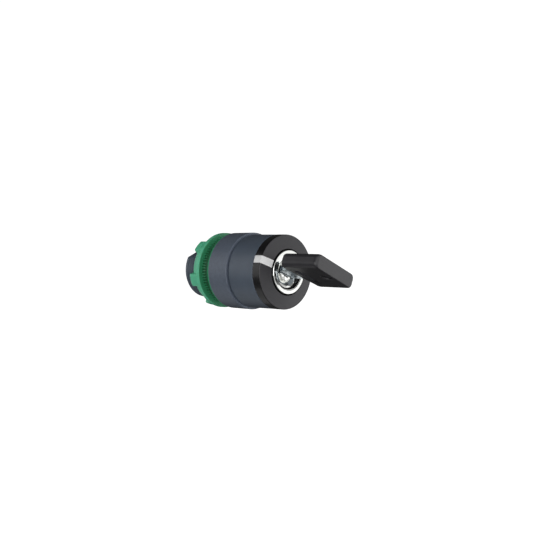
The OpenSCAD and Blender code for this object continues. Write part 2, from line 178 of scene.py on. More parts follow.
class StudioSettings(bpy.types.PropertyGroup):
    """Camera and light."""
    azimuth: bpy.props.FloatProperty(
        name="Azimuth", description="Camera's turn round the object from the front",
        default=math.radians(-42.3), subtype="ANGLE")
    elevation: bpy.props.FloatProperty(name="Elevation", description="Camera's height angle",
                                       default=math.radians(18.38), subtype="ANGLE")
    roll: bpy.props.FloatProperty(name="Roll", description="Camera's tilt to the right",
                                  default=math.radians(17.23), subtype="ANGLE")
    distance: size("Distance", 449, "From the camera to the point it looks at")
    lens: bpy.props.FloatProperty(name="Lens", description="Focal length", default=77.72, unit="CAMERA")
    floor_drop: size("Floor drop", 250, "How far the floor lies below the switch axis")
    light: bpy.props.FloatProperty(name="Light", description="Factor on all the soft boxes", default=1.0)
    tent: bpy.props.FloatProperty(name="Tent", description="Brightness of the light tent", default=0.05)


# Soft boxes round the object: azimuth (0 at the right, a quarter turn behind) and elevation in degrees,
# radiance.
SOFT_BOXES = (
    (200, 25, 2.8), (240, 25, 1.4), (280, 25, 1.0), (320, 30, 0.2), (120, 25, 0.9),
    (80, -5, 1.8), (120, -10, 0.1), (200, -5, 0.2), (240, -5, 0.3), (280, -5, 1.0), (320, -5, 1.1),
    (0, -5, 0.5), (120, -40, 0.4), (240, -40, 0.4), (280, -40, 0.6), (320, -40, 1.1), (0, -40, 0.6),
)


# ------------------------------------------------------------------------------------------- surfaces

def turned(r, angle, height):
    """Points in metres from radius, angle (0 at the right, a quarter turn at the top) and height in
    millimetres."""
    r, angle, height = np.broadcast_arrays(r, angle, height)
    return np.stack([r * np.cos(angle), -height, r * np.sin(angle)], -1) * MM


def round_angles(count=ROUND):
    """A row of angles, evenly spread round a full turn."""
    return np.linspace(0, TURN, count, endpoint=False)[None, :]


def keyed(u, w, height):
    """Points in metres from the key's own frame: u towards the marker, w through its thickness, height
    forwards."""
    u, w, height = np.broadcast_arrays(u, w, height)
    c, s = math.cos(REST_ANGLE), math.sin(REST_ANGLE)
    return np.stack([u * c - w * s, -height, u * s + w * c], -1) * MM


def rounded(corners, steps=6):
    """A closed profile with rounded corners. Each corner (a, b, rounding) becomes a circular arc between
    the points where it touches both sides: a rational curve of the second degree, whose middle weight is
    the sine of half the corner's angle."""
    c = np.asarray(corners, float)
    p, want = c[:, :2], c[:, 2:3]
    before, after = np.roll(p, 1, 0) - p, np.roll(p, -1, 0) - p
    long0, long1 = np.linalg.norm(before, axis=1, keepdims=True), np.linalg.norm(after, axis=1, keepdims=True)
    before, after = before / long0, after / long1
    half = 0.5 * np.arccos(np.clip((before * after).sum(1, keepdims=True), -1, 1))
    # An arc keeps a little length, so that it has all its points, and takes less than half of either side.
    reach = np.clip(want / np.tan(half), 0.008, 0.46 * np.minimum(long0, long1))
    start, end = (p + before * reach)[:, None], (p + after * reach)[:, None]
    t = np.linspace(0, 1, steps)[None, :, None]
    w0, w1, w2 = (1 - t) ** 2, 2 * t * (1 - t) * np.sin(half)[:, None], t ** 2
    points = (w0 * start + w1 * p[:, None] + w2 * end) / (w0 + w1 + w2)
    return points.reshape(-1, 2)


def piece(name, points, finish, round_u=True, round_v=True, sharp=35, inside=(0, -0.02, 0)):
    """A mesh object from a grid of points: each cell is a face, and the grid closes on itself round u and v
    where asked. Points that fall together are merged, so poles are closed. The faces are turned outwards by
    the sign of the volume between them and a point, which lies behind them where the surface is open."""
    rows, columns = points.shape[:2]
    i = np.arange(rows if round_u else rows - 1)[:, None]
    j = np.arange(columns if round_v else columns - 1)[None, :]
    i1, j1 = (i + 1) % rows, (j + 1) % columns
    faces = np.stack([i * columns + j, i * columns + j1, i1 * columns + j1, i1 * columns + j], -1)
    faces = faces.reshape(-1, 4)
    flat = points.reshape(-1, 3)
    a, b, c, d = (flat[faces[:, k]] - np.array(inside) for k in range(4))
    volume = np.einsum("ij,ij->", a, np.cross(b, c) + np.cross(c, d))
    if volume < 0:
        faces = faces[:, ::-1]
    mesh = bpy.data.meshes.new(name)
    mesh.vertices.add(len(flat))
    mesh.vertices.foreach_set("co", flat.astype(np.float32).ravel())
    mesh.loops.add(faces.size)
    mesh.loops.foreach_set("vertex_index", faces.astype(np.int32).ravel())
    mesh.polygons.add(len(faces))
    mesh.polygons.foreach_set("loop_start", np.arange(0, faces.size, 4, dtype=np.int32))
    mesh.update(calc_edges=True)
    mesh.validate()
    return shown(name, mesh, finish, sharp, merge=2e-7)


def shown(name, mesh, finish, sharp=35, merge=1e-6):
    """Links a mesh as an object: doubles merged, smooth shading with edges sharper than the given angle
    kept."""
    b = bmesh.new()
    b.from_mesh(mesh)
    bmesh.ops.remove_doubles(b, verts=b.verts, dist=merge)
    bmesh.ops.dissolve_degenerate(b, edges=b.edges, dist=merge)
    b.to_mesh(mesh)
    b.free()
    thing = bpy.data.objects.new(name, mesh)
    bpy.context.scene.collection.objects.link(thing)
    mesh.materials.clear()
    if finish is not None:
        mesh.materials.append(finish)
    smooth(thing, sharp)
    return thing


def smooth(thing, sharp):
    """Smooth shading, weighted by face area so that flat faces stay flat beside their rounded edges."""
    thing.data.shade_smooth()
    thing.data.set_sharp_from_angle(angle=math.radians(sharp))
    if "Flat faces" not in thing.modifiers:
        weighted = thing.modifiers.new("Flat faces", "WEIGHTED_NORMAL")
        weighted.keep_sharp = True


def carried(node, finish, slot, name=None, sharp=30):
    """A merged copy of a CAD node, shaded smooth, that stands for it."""
    source = frame["nodes"][node]
    thing = shown(name or node + "_piece", source.data.copy(), finish, sharp)
    settle(thing, source["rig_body"], slot, node)
    return thing


def settle(thing, body, slot, *nodes):
    """Attaches a piece to the body that it rides on and hides the CAD nodes that it stands for. The slot
    argument is not used.
    """
    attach(thing, body)
    if nodes:
        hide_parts(*nodes)


def cut(thing, *tools):
    """Takes each tool's shape out of a piece for good and removes the tool."""
    for tool in tools:
        step = thing.modifiers.new("Cut", "BOOLEAN")
        step.operation = "DIFFERENCE"
        step.solver = "EXACT"
        step.object = tool
    bpy.context.view_layer.update()
    weighted = thing.modifiers.get("Flat faces")
    if weighted:
        thing.modifiers.remove(weighted)
    graph = bpy.context.evaluated_depsgraph_get()
    result = bpy.data.meshes.new_from_object(thing.evaluated_get(graph))
    # Flat faces cut into slivers are joined again, so that they shade evenly.
    b = bmesh.new()
    b.from_mesh(result)
    bmesh.ops.dissolve_limit(b, angle_limit=math.radians(0.2), verts=b.verts, edges=b.edges)
    b.to_mesh(result)
    b.free()
    old = thing.data
    thing.modifiers.clear()
    thing.data = result
    bpy.data.meshes.remove(old)
    for tool in tools:
        mesh = tool.data
        bpy.data.objects.remove(tool)
        bpy.data.meshes.remove(mesh)
    smooth(thing, 35)


def brick(u, w, height):
    """A cutting block in the key's frame from three (low, high) ranges: a square outline carried from the
    low to the high height, with both ends drawn together to a point."""
    ring = np.array([[0, 0], [1, 0], [1, 1], [0, 1]])
    us, ws = u[0] + (u[1] - u[0]) * ring[:, 0], w[0] + (w[1] - w[0]) * ring[:, 1]
    mid = np.full(4, (u[0] + u[1]) / 2), np.full(4, (w[0] + w[1]) / 2)
    rows = [(*mid, height[0]), (us, ws, height[0]), (us, ws, height[1]), (*mid, height[1])]
    return piece("cutter", np.stack([keyed(*row) for row in rows]), None, round_u=False)


# ------------------------------------------------------------------------------------------- finishes

def add(tree, kind, feeds=None, **settings):
    """Adds a shader node: settings are its properties, feeds its inputs, each a value or the output that
    feeds it."""
    node = tree.nodes.new(kind)
    for key, value in settings.items():
        setattr(node, key, value)
    for key, value in (feeds or {}).items():
        if isinstance(value, bpy.types.NodeSocket):
            tree.links.new(value, node.inputs[key])
        else:
            node.inputs[key].default_value = value
    return node


def scaled(value, low, high):
    """Feeds that map a 0 to 1 pattern to the range from low to high."""
    return {"Value": value, "From Min": 0.0, "From Max": 1.0, "To Min": low, "To Max": high}


def noise(tree, place, millimetres, detail=2.0, stretch=None):
    """A noise pattern whose patches are that many millimetres across."""
    if stretch:
        place = add(tree, "ShaderNodeMapping", {"Vector": place, "Scale": stretch}).outputs["Vector"]
    feeds = {"Vector": place, "Scale": 1 / (millimetres * MM), "Detail": detail, "Roughness": 0.55}
    return add(tree, "ShaderNodeTexNoise", feeds).outputs["Fac"]


def blend(tree, share, first, second):
    """A colour between two, by a share from 0 to 1. Each is a colour or the output that feeds it."""
    return add(tree, "ShaderNodeMix", {"Factor": share, 6: first, 7: second}, data_type="RGBA").outputs[2]


def growing(tree, value, low, high):
    """A share that grows from 0 to 1 while a value goes from low to high in millimetres."""
    return add(tree, "ShaderNodeMapRange", {"Value": value, "From Min": low * MM,
                                            "From Max": high * MM}).outputs["Result"]


def opaque(colour):
    """A colour with full alpha."""
    return tuple(colour) + (1,)


def finish(name, colour, drift=0.12, patch=4.0, rough=(0.4, 0.5), grain=0.4, relief=0.01, shader=None,
           stretch=None):
    """A material: the colour drifts a little over patches, the roughness runs between two values over finer
    patches, and a grain of the given size and height in millimetres gives the surface its bump."""
    material = bpy.data.materials.new(name)
    material.use_nodes = True
    tree = material.node_tree
    body = tree.nodes["Principled BSDF"]
    place = add(tree, "ShaderNodeTexCoord").outputs["Object"]
    wide = noise(tree, place, patch)
    fine = noise(tree, place, grain, 3.0, stretch)
    dark, light = opaque(c * (1 - drift) for c in colour), opaque(min(1, c * (1 + drift)) for c in colour)
    share = add(tree, "ShaderNodeMapRange", scaled(wide, -0.4, 1.4)).outputs["Result"]
    tree.links.new(blend(tree, share, dark, light), body.inputs["Base Color"])
    gloss = add(tree, "ShaderNodeMapRange", scaled(fine, *rough)).outputs["Result"]
    tree.links.new(gloss, body.inputs["Roughness"])
    bump = add(tree, "ShaderNodeBump", {"Height": fine, "Distance": relief * MM, "Strength": 1.0})
    tree.links.new(bump.outputs["Normal"], body.inputs["Normal"])
    for key, value in (shader or {}).items():
        body.inputs[key].default_value = value
    return material


def sleeve_finish(colours):
    # PA66 with glass fibre, moulded in a finely spark-eroded tool: an even dull anthracite with a soft sheen.
    return finish("moulded_anthracite_nylon", colours.sleeve, 0.07, 6, (0.36, 0.46), 0.5, 0.012,
                  {"IOR": 1.53})


def bezel_finish(colours):
    # The same nylon in a coarser tool. The real grain is about 0.1 mm; drawn as 0.55 mm so that it shows.
    return finish("textured_anthracite_nylon", colours.bezel, 0.1, 1.2, (0.38, 0.5), 0.55, 0.03,
                  {"IOR": 1.53})


def collar_finish(colours, sizes):
    # Black ABS: the side comes from a polished tool, the slope from a matt one, so the gloss changes at the
    # edge.
    material = finish("black_abs", colours.collar, 0.08, 3, (0.3, 0.36), 0.5, 0.006, {"IOR": 1.54})
    tree = material.node_tree
    body = tree.nodes["Principled BSDF"]
    place = add(tree, "ShaderNodeTexCoord").outputs["Object"]
    ahead = add(tree, "ShaderNodeSeparateXYZ", {"Vector": place}).outputs["Y"]
    edge = -shoulder(sizes)
    side = growing(tree, ahead, edge - 0.05, edge + 0.15)
    gloss = add(tree, "ShaderNodeMapRange", scaled(side, 0.48, 0.26)).outputs["Result"]
    tree.links.new(gloss, body.inputs["Roughness"])
    even = body.inputs["Base Color"].links[0].from_socket
    tree.links.new(blend(tree, side, opaque(colours.slope), even), body.inputs["Base Color"])
    return material


def marker_finish(colours):
    # White ABS pressed into the collar: even and half matt.
    return finish("white_abs", colours.marker, 0.02, 3, (0.35, 0.42), 0.5, 0.004, {"IOR": 1.54})


def nut_finish(colours, edge, crest):
    # Unfilled green nylon, slightly waxy. In front of the given y in millimetres, on the flange's front face
    # and the ribbed hub,
    # the colour is a deeper green: painted shade of the recess between the nut and the bezel. It is darker
    # still, more painted shade, in the grooves that lie inside the given radius of the ribs. The rim and lugs
    # keep the plain green.
    material = finish("green_nylon", colours.nut, 0.06, 2.5, (0.38, 0.5), 0.6, 0.012,
                      {"IOR": 1.53, "Subsurface Weight": 0.05, "Subsurface Scale": 0.3 * MM})
    tree = material.node_tree
    body = tree.nodes["Principled BSDF"]
    place = add(tree, "ShaderNodeTexCoord").outputs["Object"]
    ahead = add(tree, "ShaderNodeSeparateXYZ", {"Vector": place}).outputs["Y"]
    flat = add(tree, "ShaderNodeVectorMath", {0: place, 1: (1, 0, 1)}, operation="MULTIPLY").outputs["Vector"]
    out = add(tree, "ShaderNodeVectorMath", {0: flat}, operation="LENGTH").outputs["Value"]
    # Painted shade: the front's deeper green, darkest in the grooves between the ribs.
    front_painted_shade = blend(tree, growing(tree, out, crest - 0.3, crest), opaque(colours.nut_groove_painted_shade),
                   opaque(colours.nut_front_painted_shade))
    even = body.inputs["Base Color"].links[0].from_socket
    # Painted shade in front of the flange, plain green behind it.
    rim = growing(tree, ahead, edge, edge + 0.15)
    tree.links.new(blend(tree, rim, front_painted_shade, even), body.inputs["Base Color"])
    return material


def gasket_finish(colours):
    # Green thermoplastic rubber: duller than the nut.
    return finish("green_rubber", colours.gasket, 0.08, 2, (0.6, 0.75), 0.4, 0.01, {"IOR": 1.5})


def chrome_finish(colours):
    # Zinc casting, polished and chrome plated: a mirror with the faintest waviness of the casting beneath.
    return finish("bright_chrome", colours.chrome, 0.015, 5, (0.05, 0.09), 2.5, 0.004, {"Metallic": 1.0})


def key_finish(colours):
    # Black ABS from a finely grained tool, rubbed a little smooth by fingers.
    return finish("grained_black_abs", colours.key, 0.12, 3.5, (0.34, 0.5), 0.45, 0.012, {"IOR": 1.54})


def steel_finish(colours):
    # Steel strip, nickel plated: long drawing marks run along the key. Real ones are finer than the 0.3 mm
    # drawn.
    return finish("nickel_plated_steel", colours.steel, 0.05, 3, (0.16, 0.3), 0.3, 0.006, {"Metallic": 1.0},
                  stretch=(1, 0.06, 1))


def plain_finishes(c):
    """Finishes of the inner pieces, by material slot."""
    # Natural acetal and nylon are waxy, cast zinc is grey and grainy, drawn wire and stamped brass keep
    # fine marks.
    return {
        "zinc": finish("cast_zinc", c.zinc, 0.1, 1.5, (0.4, 0.55), 0.3, 0.02, {"Metallic": 1.0}),
        "steel_pin": finish("ground_steel", c.steel, 0.05, 1, (0.2, 0.3), 0.2, 0.004, {"Metallic": 1.0}),
        "guide_plastic": finish("dark_nylon", c.guide, 0.1, 1.5, (0.45, 0.6), 0.4, 0.02, {"IOR": 1.53}),
        "spring_steel": finish("spring_strip", c.spring, 0.06, 1, (0.22, 0.34), 0.3, 0.004,
                               {"Metallic": 1.0}),
        "spring_wire": finish("spring_wire", c.spring, 0.06, 1, (0.2, 0.32), 0.3, 0.004, {"Metallic": 1.0}),
        "seal_rubber": finish("black_rubber", c.rubber, 0.1, 1, (0.6, 0.75), 0.4, 0.01, {"IOR": 1.5}),
        "wafer_brass": finish("stamped_brass", c.brass, 0.08, 1, (0.28, 0.4), 0.3, 0.006, {"Metallic": 1.0}),
        "cam_plastic": finish("natural_acetal", c.acetal, 0.03, 3, (0.3, 0.4), 0.5, 0.008, {"IOR": 1.48}),
        "plunger_plastic": finish("turned_acetal", c.acetal, 0.03, 2, (0.3, 0.42), 0.4, 0.01, {"IOR": 1.48}),
    }


# ------------------------------------------------------------------------------------------- pieces

def shoulder(sizes):
    """Height of the collar's shoulder in millimetres."""
    return front("marker_collar") - sizes.collar_rise / MM


def in_mm(group, *names):
    """Settings in millimetres."""
    return [getattr(group, name) / MM for name in names]


class KEYSWITCH_OT_bushing(bpy.types.Operator):
    """Threaded barrel, core and front sleeve in one moulding"""
    bl_idname = "keyswitch.bushing"
    bl_label = "Bushing"

    def execute(self, context):
        s = context.scene.switch_sizes
        barrel, pitch, depth, plain, flat, flat_length = in_mm(
            s, "barrel", "thread_pitch", "thread_depth", "plain", "flat", "flat_length")
        sleeve, bore, core, soft, tight = in_mm(s, "sleeve", "bore", "core", "soft_edge", "tight_edge")
        end, mouth, step = rear("bushing"), front("bushing"), front("bezel")
        gasket = rear("bezel")
        stator, low = radius("lock_body") + 0.02, rear("lock_body")
        seat = barrel + 0.6
        plate, under = front("guide_plate"), radius("cam_drum") + 0.3
        seat_bore, groove = under + 0.3, under + 0.6
        thick, clip = plate - rear("guide_plate"), 0.9
        waist, waist_front = sleeve - 0.7, step + 0.5
        steps = 6
        outline = rounded([
            (barrel, end, 0.5), (barrel, 0, tight), (seat, 0, tight), (seat, gasket, tight),
            (core, gasket, tight), (core, step, tight), (waist, step, tight), (waist, waist_front, tight),
            (sleeve, waist_front, soft), (sleeve, mouth, soft), (bore, mouth, 0.12),
            (bore, waist_front, tight), (stator, waist_front, tight), (stator, low, tight),
            (under, low, tight), (under, plate, tight),
            (seat_bore, plate, tight), (seat_bore, plate - thick, tight), (groove, plate - thick, tight),
            (groove, plate - thick - clip, tight), (seat_bore, plate - thick - clip, tight),
            (seat_bore, end, 0.3),
        ], steps)
        # The barrel's side gets close rows for the thread, and two rows together at the end of the flat.
        rows_a_pitch, beside = 18, 0.02
        rows = np.linspace(outline[steps - 1, 1], -0.1, int(-end / pitch * rows_a_pitch))[1:-1]
        rows = np.sort(np.append(rows, [end + flat_length - beside, end + flat_length + beside]))
        side = np.stack([np.full_like(rows, barrel), rows], 1)
        outline = np.vstack([outline[:steps], side, outline[steps:]])
        threaded = np.zeros(len(outline))
        threaded[steps:steps + len(rows)] = 1
        r, z = outline[:, :1], outline[:, 1:]
        angle = round_angles()
        # Thread: a flat-bottomed groove whose place moves on by one pitch each turn and fades out at both
        # ends.
        phase = np.mod((z - end) / pitch - angle / TURN, 1)
        shape = np.interp(phase, [0, 0.05, 0.45, 0.6, 0.95, 1], [0, 0, 1, 1, 0, 0])
        lead, run_out = 0.6, 0.8
        fade = np.clip((z - end - lead) / run_out, 0, 1) * np.clip((-plain - z) / run_out, 0, 1)
        r = r - depth * shape * fade * threaded[:, None]
        # Flat: no point near the rear end lies higher than it.
        near = (z < end + flat_length) & (r > flat)
        rise, least = np.sin(angle), 0.3
        r = np.where(near & (rise > least), np.minimum(r, flat / np.maximum(rise, least)), r)
        colours = context.scene.switch_colours
        settle(piece("bushing_piece", turned(r, angle, z), sleeve_finish(colours)),
               "head", "housing_plastic", "bushing")
        return {"FINISHED"}


class KEYSWITCH_OT_bezel(bpy.types.Operator):
    """Bezel ring and the gasket behind it"""
    bl_idname = "keyswitch.bezel"
    bl_label = "Bezel and gasket"

    def execute(self, context):
        s = context.scene.switch_sizes
        core, soft, tight, lip = in_mm(s, "core", "soft_edge", "tight_edge", "lip_edge")
        back, face, wide = rear("bezel"), front("bezel"), radius("bezel")
        inner, rear_wide = core + 0.05, wide - 0.15
        outline = rounded([(inner, back, tight), (rear_wide, back, soft), (wide, face, lip),
                           (inner, face, tight)], 10)
        angle = round_angles()
        colours = context.scene.switch_colours
        settle(piece("bezel_piece", turned(outline[:, :1], angle, outline[:, 1:]), bezel_finish(colours)),
               "head", "bezel_plastic", "bezel")
        outer, inner = radius("panel_gasket"), in_mm(s, "barrel")[0] + 0.65
        pressed = rounded([(inner, 0, tight), (outer, 0, 0.15), (outer, back, 0.05), (inner, back, tight)], 6)
        settle(piece("gasket_piece", turned(pressed[:, :1], angle, pressed[:, 1:]), gasket_finish(colours)),
               "head", "gasket_rubber", "panel_gasket")
        return {"FINISHED"}


class KEYSWITCH_OT_collar(bpy.types.Operator):
    """Turning collar with its white marker"""
    bl_idname = "keyswitch.collar"
    bl_label = "Marker collar"

    def execute(self, context):
        s = context.scene.switch_sizes
        bore, marker, stand = in_mm(s, "bore", "marker", "marker_stand")
        edge, tight = in_mm(s, "collar_edge", "tight_edge")
        wide = in_mm(s, "sleeve")[0] + 0.05
        back, low, high = front("bushing") + 0.1, shoulder(s), front("marker_collar")
        journal, hole = bore - 0.05, radius("lock_cap") + 0.45
        web, floor = rear("lock_cap"), rear("marker_collar")
        well, journal_in = 4.6, journal - 2
        steps = 10
        outline = rounded([
            (well, back, tight), (journal_in, back, tight), (journal_in, floor, tight),
            (journal, floor, tight), (journal, back, tight), (wide, back, 0.2), (wide, low, edge),
            (hole, high, 0.2), (hole, web, tight), (well, web, tight)], steps)
        angle = round_angles()
        colours = context.scene.switch_colours
        black = collar_finish(colours, s)
        settle(piece("collar_piece", turned(outline[:, :1], angle, outline[:, 1:]), black),
               "rotor", "collar_plastic", "marker_collar")
        # Marker: the collar's own outline from its rear edge to the hole, carried sideways across the
        # marker's width, each point dropping back so that it stays on the collar. It runs from near the end
        # of the sixth corner's arc to the middle of the eighth's.
        first, last, thick = 6 * steps - 3, 8 * steps - 5, 0.5
        path = outline[first:last]
        across = np.linspace(-marker / 2, marker / 2, 13)[None, :]
        along = np.diff(path, axis=0)
        along /= np.linalg.norm(along, axis=1, keepdims=True)
        along = np.vstack([along[:1], along[:-1] + along[1:], along[-1:]])
        along /= np.linalg.norm(along, axis=1, keepdims=True)
        path = path + np.stack([along[:, 1], -along[:, 0]], 1) * stand
        r, z = path[:, :1], path[:, 1:]
        sheet = piece("marker_piece", keyed(np.sqrt(r ** 2 - across ** 2), across, z), marker_finish(colours),
                      round_u=False, round_v=False)
        wall = sheet.modifiers.new("Thickness", "SOLIDIFY")
        wall.thickness, wall.offset = thick * MM, -1
        settle(sheet, "rotor", "marker_plastic", "marker_inlay")
        return {"FINISHED"}


class KEYSWITCH_OT_lock_face(bpy.types.Operator):
    """Chrome cap and the front of the plug"""
    bl_idname = "keyswitch.lock_face"
    bl_label = "Lock face"

    def execute(self, context):
        s = context.scene.switch_sizes
        rim, dish, notch, tight = in_mm(s, "rim", "dish", "notch", "tight_edge")
        wide, top, web = radius("lock_cap"), front("lock_cap"), rear("lock_cap")
        neck, lip = 3.42, 0.15
        keyway_w, keyway_t, past = 4.2, 1.25, 1
        notch_in, notch_out, notch_deep = 4.9, wide - 0.9, 1.5
        t = np.linspace(0, 1, 28)
        # Dish: from the rim inwards the depth grows as one less the cosine, so it is flat at the rim.
        floor = top - lip - (dish - lip) * (1 - np.cos(t * math.pi / 2))
        hollow = np.stack([rim - (rim - neck) * t, floor], 1)
        outside = rounded([(neck, web, tight), (wide, web, 0.1), (wide, top, 0.35), (rim, top, lip)], 8)
        outline = np.vstack([outside[4:-4], hollow])
        angle = round_angles()
        chrome = chrome_finish(context.scene.switch_colours)
        cap = piece("lock_cap_piece", turned(outline[:, :1], angle, outline[:, 1:]), chrome)
        cut(cap, brick((-keyway_w, keyway_w), (-keyway_t, keyway_t), (web - past, top + past)),
            brick((notch_in, notch_out), (-notch / 2, notch / 2), (top - notch_deep, top + past)))
        settle(cap, "rotor", "lock_chrome", "lock_cap")
        carried("lock_plug", chrome, "lock_chrome", sharp=32)
        return {"FINISHED"}


class KEYSWITCH_OT_key(bpy.types.Operator):
    """Key: plated blade and black moulded bow"""
    bl_idname = "keyswitch.key"
    bl_label = "Key"

    def execute(self, context):
        s = context.scene.switch_sizes
        end_round, edge, corner, hole = in_mm(s, "bow_end", "bow_edge", "bow_corner", "hole")
        back = rear("key_bow")
        shift, slant = in_mm(s, "bow_shift", "bow_slant")
        half_w, half_t, length = 12.45, 2.7, 16.8
        window, window_rear, window_front = 7.2, 2.6, 5.1
        face = back + length
        centre, half_l = (back + face) / 2, (face - back) / 2
        # Bow: a rounded rectangle for each level through the thickness. Towards both faces its half width
        # and half length shrink along circular arcs of the end and edge roundings.
        w = half_t * np.sin(np.linspace(-1, 1, 49) * math.pi / 2)
        w = np.sort(np.append(w, [half_t - end_round, end_round - half_t, half_t - edge, edge - half_t]))

        def shrink(rounding):
            over = np.clip(np.abs(w) - (half_t - rounding), 0, rounding)
            return rounding - np.sqrt(np.maximum(rounding ** 2 - over ** 2, 0))

        steps = 12
        ease = np.linspace(0, 1, steps) * math.pi / 2
        quarter = np.stack([np.cos(ease), np.sin(ease)], 1)
        turns = np.array([[[1, 0], [0, 1]], [[0, -1], [1, 0]], [[-1, 0], [0, -1]], [[0, 1], [-1, 0]]])
        arcs = np.einsum("kij,nj->kni", turns, quarter)
        signs = np.array([[1, 1], [-1, 1], [-1, -1], [1, -1]])[:, None, :]
        reach = np.stack([half_w - shrink(end_round), half_l - shrink(edge)], 1)[:, None, None, :]
        least = 0.4
        bend = np.minimum(corner, np.maximum(corner - shrink(edge)[:, None, None, None], least))
        outline = (signs * (reach - bend) + arcs * bend).reshape(len(w), -1, 2)
        closed = np.concatenate([outline[:1] * 0, outline, outline[-1:] * 0])
        level = np.concatenate([w[:1], w, w[-1:]])[:, None]
        colours = context.scene.switch_colours
        # The front edge leans: its height grows evenly from one end of the bow to the other.
        lean = slant * closed[..., 0] / half_w * (closed[..., 1] / half_l + 1) / 2
        bow = piece("key_bow_piece", keyed(closed[..., 0], level - shift, closed[..., 1] + centre + lean),
                    key_finish(colours), round_u=False)
        # Ring hole: a straight hole whose radius flares at both faces, for rounded edges.
        lip, beyond, past, inset = 0.35, 0.02, 0.5, 3.7
        through = np.linspace(-1, 1, 33) * (half_t + beyond)
        flare = np.clip((np.abs(through) - (half_t - lip)) / (lip + beyond), 0, 1)
        bore = hole + lip * (1 - np.sqrt(1 - flare ** 2))
        through = np.concatenate([[-half_t - past] * 2, through, [half_t + past] * 2])
        bore = np.concatenate([[0.0, bore[0]], bore, [bore[-1], 0.0]])
        angle = round_angles(72)
        ring = piece("cutter", keyed(bore[:, None] * np.cos(angle), through[:, None] - shift,
                                     bore[:, None] * np.sin(angle) + face - inset), None, round_u=False)
        cut(bow, ring, brick((-window, window), (-half_t * 2, half_t * 2),
                             (back + window_rear, back + window_front)))
        settle(bow, "key", "key_plastic", "key_bow")
        carried("key_blade", steel_finish(colours), "key_steel", sharp=25)
        return {"FINISHED"}


def from_lug(angle, lug_at, between):
    """Angle from the middle of the nearest of a round of lugs, which lie one angle apart."""
    return np.mod(angle - lug_at + between / 2, between) - between / 2


def raised_arrow(angle, low, high, middle):
    """Points of an arrow on a lug: a triangle carried outwards between two radii, its tip towards the rear,
    with both ends drawn together to a point."""
    corners, point = np.array([[1.3, 1.1], [1.3, -1.1], [-1.1, 0]]), np.zeros((3, 2))
    levels = (low, point), (low, corners), (high, corners), (high, point)
    block = np.stack([np.column_stack((np.full(3, r), shape)) for r, shape in levels])
    out, ahead, side = block[..., 0], block[..., 1], block[..., 2]
    c, s = math.cos(angle), math.sin(angle)
    return np.stack([out * c - side * s, -(middle + ahead), out * s + side * c], -1) * MM


class KEYSWITCH_OT_panel_nut(bpy.types.Operator):
    """Panel nut with fine ribs, flange and grip lugs"""
    bl_idname = "keyswitch.panel_nut"
    bl_label = "Panel nut"

    def execute(self, context):
        s = context.scene.switch_sizes
        soft, tight = in_mm(s, "soft_edge", "tight_edge")
        wide = corners_of("panel_nut")[1][0]
        top, tail = front("panel_nut"), rear("panel_nut")
        flange, hub = top - 3.8, top - 5.7
        rib_tip, end = flange + 1.6, tail + 1.3
        bore, hollow = 11.3, 12.1
        hub_r, lug_r, front_r, rib_r = wide - 1.65, wide - 0.7, wide - 2.15, wide - 1.7
        lugs, ribs, half_lug, lug_at = 6, 75, 2.45, math.radians(112)
        steps = 6

        def outline(hub_out, rear_at):
            """The nut's outline through a lug or between two lugs, with the same number of points."""
            return rounded([
                (hollow, top, 0.15), (hollow, flange - 0.5, tight), (bore, flange - 0.5, tight),
                (bore, end, 0.1),
                (bore + 0.35, end - 0.001, tight), (bore + 0.4, rear_at, 0.1), (hub_out, rear_at, 0.6),
                (hub_out, hub, 0.15), (wide, hub, soft), (wide, flange, soft), (front_r, flange, tight),
                (front_r, flange + 1.15, tight), (front_r, rib_tip, tight), (front_r, top, soft)], steps)

        plain, lug = outline(hub_r, end - 0.002), outline(lug_r, tail)
        # Columns: five to each rib, and close pairs where the lugs' sides stand.
        pitch, between = TURN / ribs, TURN / lugs
        rib_part = np.array([0.0, 0.14, 0.36, 0.64, 0.86, 1.0])
        columns = (pitch * (np.arange(ribs)[:, None] + rib_part[:-1])).ravel()
        near = math.radians(10)
        local = from_lug(columns, lug_at, between)
        columns = columns[np.abs(np.abs(local) - math.radians(9.1)) > math.radians(1.4)]
        sides = lug_at + between * np.arange(lugs)[:, None] + np.radians(
            [-10.2, -10, -9.8, -9.4, -8.8, -8, 8, 8.8, 9.4, 9.8, 10, 10.2])
        columns = np.sort(np.mod(np.concatenate([columns, sides.ravel()]), TURN))
        local = from_lug(columns, lug_at, between)
        on_lug = np.clip((math.radians(10.13) - np.abs(local)) / math.radians(0.14), 0, 1)
        shape = plain[:, None, :] + on_lug[None, :, None] * (lug - plain)[:, None, :]
        r, z = shape[..., 0], shape[..., 1]
        # The lugs' rear corners are rounded: towards its sides a lug's end draws back along an arc.
        side = np.clip((np.abs(local) - math.radians(7.6)) / math.radians(2.4), 0, 1)
        side = side * (np.abs(local) <= near)
        z = z + 0.6 * (1 - np.sqrt(1 - side ** 2))[None, :] * np.clip((end - z) / (end - tail), 0, 1)
        # Ribs: a trapezoid wave added to the front hub's radius, whose tips slope down towards the panel.
        wave = np.interp(np.mod(columns / pitch, 1), rib_part, [0, 0, 1, 1, 0, 0])
        slope = np.clip((rib_tip - z) / 0.45, 0, 1) * ((z > flange - 0.01) & (r < front_r + 0.2))
        r = r + (rib_r - front_r) * wave[None, :] * slope
        # Lug sides stay parallel: their angle follows the radius.
        behind = z < hub + 0.05
        half = np.where(behind, np.arcsin(half_lug / r), near)
        bent = np.where(np.abs(local) <= near, local * half / near, np.sign(local) * (
            half + (np.abs(local) - near) * (between / 2 - half) / (between / 2 - near)))
        angle = columns + bent - local
        colours = context.scene.switch_colours
        green = nut_finish(colours, -flange + 0.05, rib_r)
        nut = piece("panel_nut_piece", turned(r, angle, z), green, sharp=30)
        settle(nut, "nut", "nut_plastic", "panel_nut")
        arrow = raised_arrow(lug_at, lug_r - 0.1, lug_r + 0.25, hub - 2.3)
        settle(piece("nut_arrow_piece", arrow, green, round_u=False), "nut", "nut_plastic")
        return {"FINISHED"}


